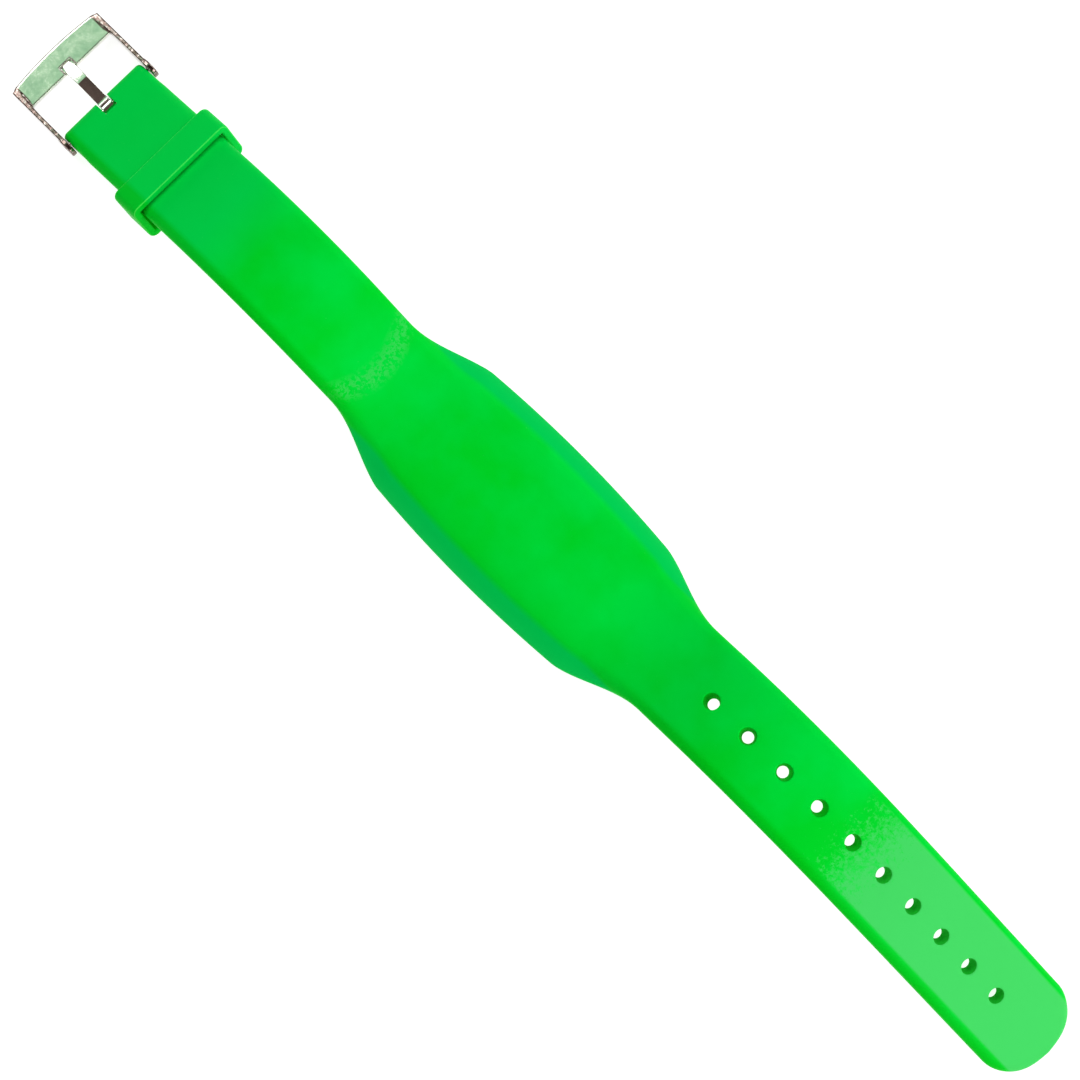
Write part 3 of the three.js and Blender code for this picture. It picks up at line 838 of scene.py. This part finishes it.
# ---------- the band ----------


def between(piece, first, second, start, end):
    """Bakes the piece's placement into its mesh; the stretch's end points are worked out and not
    used, and the piece is not bent at the joint.
    """
    band_point(start, 0, 0)
    band_point(end, 0, 0)
    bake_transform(piece)


def make_head():
    bm = lay_on_curve(band_tube(even_steps(-HEAD_END, HEAD_END, CELL)))
    bmesh.ops.scale(bm, vec=(1 / MM,) * 3, verts=bm.verts)
    recess_depth = COVER_THICKNESS + SEAT_GAP
    bm = cut_away(bm, plate(
        COVER_LENGTH + 2 * SEAT_GAP, COVER_WIDTH + 2 * SEAT_GAP, COVER_CORNER + SEAT_GAP,
        -1, recess_depth, 0))
    bm = cut_away(bm, plate(
        COVER_LENGTH - 2 * POCKET_MARGIN, COVER_WIDTH - 2 * POCKET_MARGIN,
        COVER_CORNER - POCKET_MARGIN, recess_depth - 0.5, recess_depth + POCKET_DEPTH, 0))
    bmesh.ops.scale(bm, vec=(MM,) * 3, verts=bm.verts)
    head = make_piece(bm, "band_head", SILICONE)
    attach(head, "head")
    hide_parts("head_shell")


def make_cover():
    bm = plate(COVER_LENGTH, COVER_WIDTH, COVER_CORNER, 0, COVER_THICKNESS, 0.25)
    bmesh.ops.scale(bm, vec=(MM,) * 3, verts=bm.verts)
    cover = make_piece(bm, "back_cover", SILICONE)
    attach(cover, "head")
    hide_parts("head_back_cover")


def make_tail():
    """Four lengths of tail, each cut half way between two holes."""
    holes = [FIRST_HOLE + i * HOLE_PITCH for i in range(HOLE_COUNT)]
    cuts = [HEAD_END] + [FIRST_HOLE + (count - 0.5) * HOLE_PITCH for count in (1, 3, 7)]
    for index, (start, zone) in enumerate(zip(cuts, TAIL_ZONES)):
        last = index == len(cuts) - 1
        end = TIP_END - TIP_LENGTH if last else cuts[index + 1]
        stations = even_steps(start, end, CELL)
        if last:
            for i in range(1, TIP_STEPS):
                left = (1 - i / TIP_STEPS) ** 2.67
                stations.append(TIP_END - TIP_LENGTH * left)
        bm = band_tube(stations)
        for along in holes:
            if start < along < end:
                open_hole(bm, along)
        tail = make_piece(lay_on_curve(bm), f"tail_{index + 1}", SILICONE)
        first = "head" if index == 0 else f"tail_{index}"
        between(tail, first, f"tail_{index + 1}", *zone)
        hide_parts(f"tail_link_{index + 1}")


def make_buckle_strap():
    cuts = [-HEAD_END, *STRAP_CUTS, BAR_AT]
    for index, zone in enumerate(STRAP_ZONES):
        last = index == len(STRAP_ZONES) - 1
        stations = even_steps(cuts[index + 1], cuts[index], CELL)
        if last:
            rounding = [BAR_AT - BOSS_RADIUS * math.sin(math.radians(a)) for a in range(8, 88, 8)]
            stations = rounding[::-1] + stations
        bm = band_tube(stations)
        if last:
            bm = cut_bar_end(bm)
        else:
            bm = lay_on_curve(bm)
        strap = make_piece(bm, f"buckle_strap_{index + 1}", SILICONE)
        first = "head" if index == 0 else f"strap_{index}"
        between(strap, first, f"strap_{index + 1}", *zone)
        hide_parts(f"buckle_link_{index + 1}")


def cut_bar_end(bm):
    """Cuts the tang's slot and the spring bar's bore in the strap's end."""
    slot = block(
        (BAR_AT - 2 * BOSS_RADIUS, -TANG_SLOT_HALF_WIDTH, -2 * BOSS_RADIUS),
        (BAR_AT + TANG_SLOT_END, TANG_SLOT_HALF_WIDTH, 2 * BOSS_RADIUS))
    bm = cut_away(bm, slot)
    bore = rod(BAR_TUBE_RADIUS + RUN_GAP, STRAP_HALF_WIDTH + 1, (BAR_AT, 0, 0))
    return lay_on_curve(cut_away(bm, bore))


def make_keeper():
    """The keeper loop: a flat rounded section carried round a rectangle with round corners."""
    section = rounded_outline(KEEPER_LENGTH, KEEPER_WALL, KEEPER_RIM, 4, 6)
    loop = rounded_outline(
        KEEPER_INNER_HEIGHT + KEEPER_WALL, KEEPER_INNER_WIDTH + KEEPER_WALL,
        KEEPER_CORNER - KEEPER_WALL / 2, 10, 12)
    bm = bmesh.new()
    bmesh.ops.create_circle(bm, cap_ends=False, segments=len(section), radius=0.5)
    bmesh.ops.rotate(bm, cent=(0, 0, 0), matrix=Matrix.Rotation(math.pi / 2, 3, 'X'), verts=bm.verts)
    bmesh.ops.translate(bm, vec=(2, 0, 0), verts=bm.verts)
    bmesh.ops.spin(
        bm, geom=bm.verts[:] + bm.edges[:], cent=(0, 0, 0), axis=(0, 0, 1), dvec=(0, 0, 0),
        angle=2 * math.pi, steps=len(loop), use_merge=True)
    x, z, slope = curve_at(KEEPER_AT)
    lift = STRAP_HALF_THICKNESS + KEEPER_CLEARANCE - KEEPER_INNER_HEIGHT / 2
    centre = Vector((x - lift * math.sin(slope), 0, z + lift * math.cos(slope)))
    tilt = Matrix.Rotation(-slope, 3, 'Y')
    rim = bm.verts.layers.float.new("rim")
    for vertex in bm.verts:
        around = math.atan2(vertex.co.y, vertex.co.x) / (2 * math.pi)
        within = math.atan2(vertex.co.z, math.hypot(vertex.co.x, vertex.co.y) - 2) / (2 * math.pi)
        high, across, facing = loop[round(around * len(loop)) % len(loop)]
        along, out, turn = section[round(within * len(section)) % len(section)]
        # The keeper's outer edges are marked for a painted highlight in the silicone's colour.
        vertex[rim] = 1.0 if out > 0 and abs(math.sin(2 * turn)) > 0.99 else 0.0
        local = Vector((
            along, across + out * math.sin(facing), high + out * math.cos(facing)))
        vertex.co = (centre + tilt @ local) * MM
    keeper = make_piece(bm, "keeper", SILICONE)
    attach(keeper, "keeper")
    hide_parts("keeper_loop")


# ---------- spring bar and buckle ----------


def at_bar(bm, tilt=0.0):
    """Moves a shape made round the spring bar's axis to its place, in metres."""
    x, z, _ = curve_at(BAR_AT)
    bmesh.ops.rotate(
        bm, cent=(0, 0, 0), matrix=Matrix.Rotation(-math.radians(tilt), 3, 'Y'), verts=bm.verts)
    bmesh.ops.translate(bm, vec=(x, 0, z), verts=bm.verts)
    bmesh.ops.scale(bm, vec=(MM,) * 3, verts=bm.verts)
    return bm


def steel_piece(bm, name, body, node):
    piece = make_piece(bm, name, NICKEL, sharp=45)
    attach(piece, body)
    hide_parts(node)


def make_spring_bar():
    lip = BAR_TUBE_HALF - BAR_LIP
    edge = 0.06
    lip_bore = PIN_RADIUS + PIN_CLEARANCE
    half = [
        (lip_bore, BAR_TUBE_HALF), (BAR_TUBE_RADIUS - edge, BAR_TUBE_HALF),
        (BAR_TUBE_RADIUS, BAR_TUBE_HALF - edge)]
    inner = [(BAR_TUBE_BORE, lip), (lip_bore, lip)]
    mirrored = [(radius, -y) for radius, y in reversed(half)]
    inner_mirrored = [(radius, -y) for radius, y in reversed(inner)]
    tube = turned(half + mirrored + inner_mirrored + inner)
    steel_piece(at_bar(tube), "bar_tube", "strap_3", "spring_bar_tube")
    shoulder = lip - RUN_GAP
    root = shoulder - PIN_SHOULDER_LENGTH
    for side, word in ((1, "left"), (-1, "right")):
        pin = turned([
            (0, root), (PIN_SHOULDER_RADIUS, root), (PIN_SHOULDER_RADIUS, shoulder - 0.08),
            (PIN_SHOULDER_RADIUS - 0.08, shoulder), (PIN_RADIUS, shoulder),
            (PIN_RADIUS, PIN_TIP_AT - 0.15), (PIN_RADIUS - 0.05, PIN_TIP_AT - 0.05),
            (PIN_RADIUS - 0.15, PIN_TIP_AT), (0, PIN_TIP_AT)])
        if side < 0:
            bmesh.ops.rotate(
                pin, cent=(0, 0, 0), matrix=Matrix.Rotation(math.pi, 3, 'X'), verts=pin.verts)
        steel_piece(at_bar(pin), f"bar_pin_{word}", f"pin_{word}", f"spring_bar_pin_{word}")


def melted(bm, voxel, rounds):
    """Runs overlapping shapes together into one skin and softens its edges, as plating does."""
    bm = worked(bm, ('REMESH', {"mode": 'VOXEL', "voxel_size": voxel, "adaptivity": 0.0}))
    for _ in range(rounds):
        bmesh.ops.smooth_vert(
            bm, verts=bm.verts, factor=0.5, use_axis_x=True, use_axis_y=True, use_axis_z=True)
    return bm


def buckle_bar():
    half_width = BUCKLE_HALF_INNER + BUCKLE_ARM
    inner = BUCKLE_BAR_WIDTH - BUCKLE_REACH
    bm = block(
        (-BUCKLE_REACH, -half_width, BUCKLE_TOP - BUCKLE_BAR_THICKNESS),
        (inner, half_width, BUCKLE_TOP))
    corners = []
    for edge in bm.edges:
        a, b = (v.co for v in edge.verts)
        outer = max(a.x, b.x) < -BUCKLE_REACH + 0.01
        if outer and abs(a.z - b.z) > 0.5:
            corners.append(edge)
    bmesh.ops.bevel(
        bm, geom=corners, offset=BUCKLE_CORNER, segments=8, profile=0.5, affect='EDGES', material=-1)
    outer_rims = []
    for edge in bm.edges:
        a, b = (v.co for v in edge.verts)
        if abs(a.z - b.z) < 0.01 and (a.x + b.x) / 2 < inner - 1.5 * BUCKLE_BOW - 2.2:
            outer_rims.append(edge)
    bmesh.ops.bevel(
        bm, geom=outer_rims, offset=BUCKLE_RIM, segments=5, profile=0.5, affect='EDGES', material=-1)
    for i in range(1, 24):
        bmesh.ops.bisect_plane(
            bm, geom=bm.verts[:] + bm.edges[:] + bm.faces[:], dist=1e-5,
            plane_co=(0, mix(-half_width, half_width, i / 24), 0), plane_no=(0, 1, 0))
    for vertex in bm.verts:
        outward = (inner - vertex.co.x) / BUCKLE_BAR_WIDTH
        vertex.co.x += outward * BUCKLE_BOW * (vertex.co.y / half_width) ** 2
    notch = block(
        (-NOTCH_END, -NOTCH_HALF_WIDTH, BUCKLE_TOP - NOTCH_DEPTH),
        (inner + 1, NOTCH_HALF_WIDTH, BUCKLE_TOP + 1))
    return cut_away(bm, notch)


def buckle_arm(side):
    """One side arm: thicker where it leaves the bar, and ending in a round ear for the pin."""
    outer = BUCKLE_HALF_INNER + BUCKLE_ARM
    corner = BUCKLE_BOW - BUCKLE_REACH
    arm = block((corner + 0.35, BUCKLE_HALF_INNER, -1), (0, outer, BUCKLE_TOP))
    for i in (0.25, 0.5):
        bmesh.ops.bisect_plane(
            arm, geom=arm.verts[:] + arm.edges[:] + arm.faces[:], dist=1e-5,
            plane_co=(mix(corner, 0, i), 0, 0), plane_no=(1, 0, 0))
    for vertex in arm.verts:
        share = 1 - vertex.co.x / corner
        vertex.co.z *= mix(1, BUCKLE_EAR_RADIUS * 0.98, share)
        if vertex.co.y < outer - 0.01:
            vertex.co.y -= 0.6 * max(1 - 3 * share, 0)
    pad = BUCKLE_EAR_PAD / 2
    ear = rod(BUCKLE_EAR_RADIUS, BUCKLE_ARM / 2 + pad, (0, outer - BUCKLE_ARM / 2 + pad, 0), 64)
    parts = []
    for part in (arm, ear):
        hole = rod(PIN_RADIUS + 1.4 * RUN_GAP, 3, (0, outer, 0), 32)
        parts.append(cut_away(part, hole))
    whole = join(*parts)
    if side < 0:
        bmesh.ops.scale(whole, vec=(1, -1, 1), verts=whole.verts)
        bmesh.ops.reverse_faces(whole, faces=whole.faces)
    return whole


def make_buckle_frame():
    rough_shape = join(buckle_bar(), buckle_arm(1), buckle_arm(-1))
    bm = melted(rough_shape, 0.11, 7)
    steel_piece(at_bar(bm, BUCKLE_TILT), "buckle", "buckle", "buckle_frame")


def tang_height(x):
    """Height of the tang's middle line over the bar axis, from its tip to where it wraps."""
    crest = mix(1.05, 1.32, ease((x + TANG_REACH) / 4.6))
    fall = min(max((x + 6.6) / 4.9, 0), 1)
    return mix(crest, 0.42, fall)


def make_tang():
    """A strip that lies in the buckle's notch and wraps round the spring bar, with its seam."""
    tip = -TANG_REACH
    shank = block(
        (tip, -TANG_HALF_WIDTH, -TANG_THICKNESS / 2),
        (-TANG_SHOULDER, TANG_HALF_WIDTH, TANG_THICKNESS / 2))
    for i in range(1, 40):
        bmesh.ops.bisect_plane(
            shank, geom=shank.verts[:] + shank.edges[:] + shank.faces[:], dist=1e-5,
            plane_co=(mix(tip, -TANG_SHOULDER, i / 40), 0, 0), plane_no=(1, 0, 0))
    for vertex in shank.verts:
        from_tip = vertex.co.x - tip
        vertex.co.y *= mix(0.72, 1, ease(from_tip / 1.6))
        vertex.co.z *= mix(0.6, 1, ease(from_tip / 1.4))
        vertex.co.z += tang_height(vertex.co.x)
    outer = TANG_EYE + TANG_THICKNESS
    curl = turned([
        (TANG_EYE, -TANG_HALF_WIDTH), (outer, -TANG_HALF_WIDTH),
        (outer, TANG_HALF_WIDTH), (TANG_EYE, TANG_HALF_WIDTH)], 96)
    seam = block((-0.10, -2, 0), (0.10, 2, 2))
    bmesh.ops.translate(seam, vec=(0, 0, TANG_EYE + 0.34), verts=seam.verts)
    bmesh.ops.rotate(
        seam, cent=(0, 0, 0), matrix=Matrix.Rotation(math.radians(-48), 3, 'Y'), verts=seam.verts)
    bm = melted(join(shank, cut_away(curl, seam)), 0.06, 5)
    steel_piece(at_bar(bm, BUCKLE_TILT), "tang", "tang", "buckle_tang")


def finish_inner_parts():
    """The sealed tag and the bar's spring keep their CAD shapes and get their own finishes."""
    finishes = {
        "tag_base_film": FILM, "tag_top_film": FILM, "tag_antenna_coil": COPPER,
        "tag_chip": RESIN, "spring_bar_spring": SPRING_WIRE}
    for node, material in finishes.items():
        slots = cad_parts[node].material_slots
        if not slots:
            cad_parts[node].data.materials.append(material)
        for slot in slots:
            slot.material = material


# ---------- studio ----------


def aim(thing, target):
    thing.rotation_euler = (Vector(target) - thing.location).to_track_quat('-Z', 'Y').to_euler()


def add_softbox(name, azimuth, elevation, distance, size, radiance, colour=(1, 1, 1)):
    """A rectangular light facing the band; azimuth is measured from +X towards +Y."""
    light = bpy.data.lights.new(name, 'AREA')
    light.shape = 'RECTANGLE'
    light.size, light.size_y = size
    light.energy = radiance * math.pi * size[0] * size[1]
    light.color = colour
    holder = bpy.data.objects.new(name, light)
    bpy.context.scene.collection.objects.link(holder)
    around, up = math.radians(azimuth), math.radians(elevation)
    holder.location = distance * Vector((
        math.cos(around) * math.cos(up), math.sin(around) * math.cos(up), math.sin(up)))
    aim(holder, (0, 0, 0))
    return holder


def make_studio():
    floor_height = cad_low.z - 0.0002
    bm = bmesh.new()
    bmesh.ops.create_grid(bm, x_segments=1, y_segments=1, size=3)
    bmesh.ops.translate(bm, vec=(0, 0, floor_height), verts=bm.verts)
    material, tree, shader = new_material(
        "studio_floor", Base_Color=(0.42, 0.42, 0.42, 1), Roughness=0.9, Specular_IOR_Level=0.1,
        Emission_Color=(1, 1, 1, 1), Emission_Strength=0.82)
    floor = make_piece(bm, "floor", material)
    add_softbox("key", 0, 28, 0.75, (0.6, 0.34), 5.8)
    add_softbox("left_fill", 180, 42, 0.75, (0.42, 0.26), 4.6)
    add_softbox("far_fill", 90, 38, 0.8, (0.8, 0.4), 3.3)
    add_softbox("near_fill", -90, 42, 0.85, (0.8, 0.34), 1.8)
    card = add_softbox("green_card", 180, 53, 0.43, (0.3, 0.09), 0.75, (0.50, 1.0, 0.62))
    aim(card, (-0.128, 0, -0.01))
    world = bpy.data.worlds.new("studio")
    world.use_nodes = True
    world.node_tree.nodes['Background'].inputs['Color'].default_value = (0.11, 0.075, 0.068, 1)
    world.node_tree.nodes['Background'].inputs['Strength'].default_value = 1.0
    bpy.context.scene.world = world
    bpy.context.scene.view_settings.view_transform = 'Standard'


def make_camera():
    """Nearly straight down, with the tail towards the lower right of the frame."""
    camera = bpy.data.objects.new("camera", bpy.data.cameras.new("camera"))
    bpy.context.scene.collection.objects.link(camera)
    camera.data.lens = 85.5
    camera.data.sensor_width = 36
    camera.data.clip_start = 0.01
    lean = math.radians(4)
    target = Vector((0.0051, -0.0003, -0.002))
    camera.location = target + 0.471 * Vector((0, -math.sin(lean), math.cos(lean)))
    turn = Matrix.Rotation(lean, 3, 'X') @ Matrix.Rotation(math.radians(45.15), 3, 'Z')
    camera.rotation_euler = turn.to_euler()
    bpy.context.scene.camera = camera


make_camera()
make_head()
make_cover()
make_tail()
make_buckle_strap()
make_keeper()
make_spring_bar()
make_buckle_frame()
make_tang()
finish_inner_parts()
make_studio()
